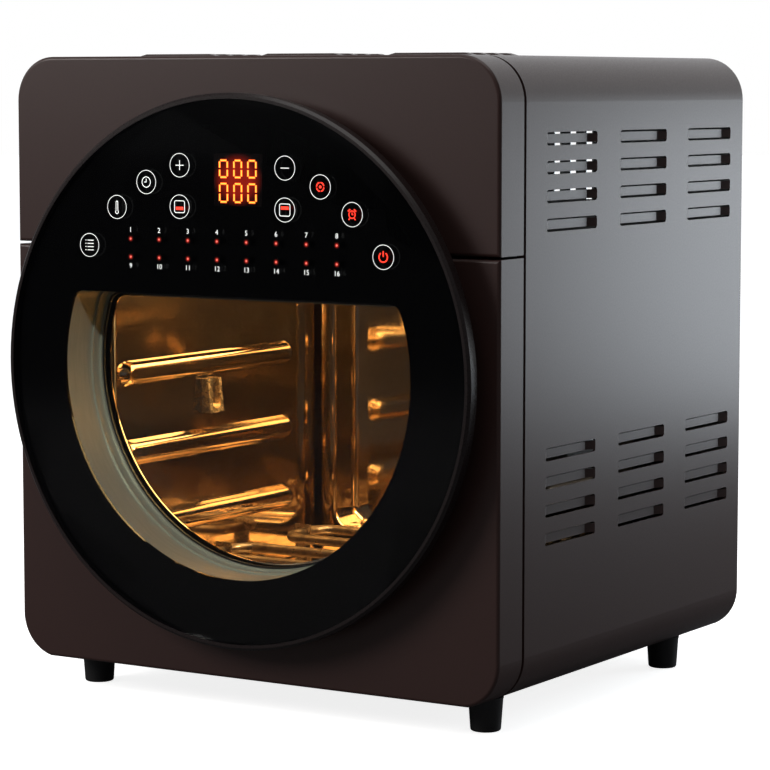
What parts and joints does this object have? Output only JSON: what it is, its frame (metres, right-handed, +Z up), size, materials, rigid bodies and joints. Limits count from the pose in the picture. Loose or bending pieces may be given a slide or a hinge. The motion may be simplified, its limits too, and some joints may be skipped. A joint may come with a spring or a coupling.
{
  "type": "air fryer oven",
  "caption": "Countertop air fryer oven with a round touch-control disc on its side-hinged door, a lit steel cavity, a fan and a turning spit socket.",
  "frame": {"origin": "centre of the bounding box's footprint, on the surface that the feet stand on", "axes": "+X to the viewer's right when facing the door, +Y from the door to the back, +Z up"},
  "size_m": [0.34, 0.336, 0.3908],
  "materials": {
    "paint": "satin dark brown baked paint",
    "zinc_steel": "plain plated sheet steel",
    "polished_steel": "bright stainless sheet",
    "satin_ring": "satin stainless ring",
    "aluminium_sheet": "stamped sheet",
    "heater_tube": "sheathed tube, heat tinted",
    "front_glass": "tempered, polished",
    "clear_glass": "clear, tempered",
    "lamp_glass": "frosted",
    "display_face": "dark red display window",
    "black_plastic": "moulded black",
    "black_rubber": "moulded black rubber",
    "silicone": "black silicone",
    "nylon": "natural nylon",
    "ferrite": "sintered magnet",
    "board": "circuit board"
  },
  "bodies": {
    "root": {"base_pan": "paint", "board_spacers": "nylon", "bulkhead": "zinc_steel", "catch_magnet": "ferrite", "cord_gland": "black_plastic", "door_sensor": "black_plastic", "fan_dish": "zinc_steel", "fan_guard": "polished_steel", "fan_motor": "zinc_steel", "floor_heater": "heater_tube", "foot_front_left": "black_rubber", "foot_front_right": "black_rubber", "foot_rear_left": "black_rubber", "foot_rear_right": "black_rubber", "heater_clip_front": "polished_steel", "heater_clip_rear": "polished_steel", "hinge_tongues": "zinc_steel", "lamp_bulb": "lamp_glass", "lamp_housing": "zinc_steel", "lamp_lens": "lamp_glass", "liner_ceiling": "polished_steel", "liner_floor": "polished_steel", "liner_left": "polished_steel", "liner_rear": "polished_steel", "liner_right": "polished_steel", "motor_bracket": "zinc_steel", "power_board": "board", "rear_panel": "zinc_steel", "rear_screws": "zinc_steel", "rotisserie_bracket": "zinc_steel", "rotisserie_motor": "zinc_steel", "side_panel_left": "paint", "side_panel_right": "paint", "spit_rest": "polished_steel", "thermal_cutout": "black_plastic", "top_cover": "paint", "upper_fascia": "paint", "upper_heater": "heater_tube"},
    "door": {"door_frame": "paint", "door_inner_plate": "polished_steel", "door_seal": "silicone", "disc_rim": "paint", "front_glass": "front_glass", "disc_carrier": "black_plastic", "touch_board": "board", "display_module": "display_face", "disc_back_cover": "black_plastic", "porthole_ring": "satin_ring", "inner_gasket": "silicone", "inner_glass": "clear_glass", "hinge_bush_lower": "nylon", "hinge_bush_upper": "nylon", "catch_plate": "zinc_steel"},
    "fan_rotor": {"hot_air_fan": "aluminium_sheet", "fan_shaft": "polished_steel", "cooling_fan": "aluminium_sheet"},
    "spit_drive": {"spit_socket": "polished_steel"}
  },
  "joints": [
    {"name": "door_hinge", "type": "hinge", "parent": "root", "child": "door", "pos_m": [-0.163, -0.128, 0.15], "axis": [0, 0, -1], "range_deg": [0, 100]},
    {"name": "fan_spin", "type": "hinge", "parent": "root", "child": "fan_rotor", "pos_m": [0, -0.0036, 0.304], "axis": [0, 0, 1], "continuous": true},
    {"name": "rotisserie_spin", "type": "hinge", "parent": "root", "child": "spit_drive", "pos_m": [0.12, -0.0166, 0.169], "axis": [-1, 0, 0], "continuous": true}
  ]
}
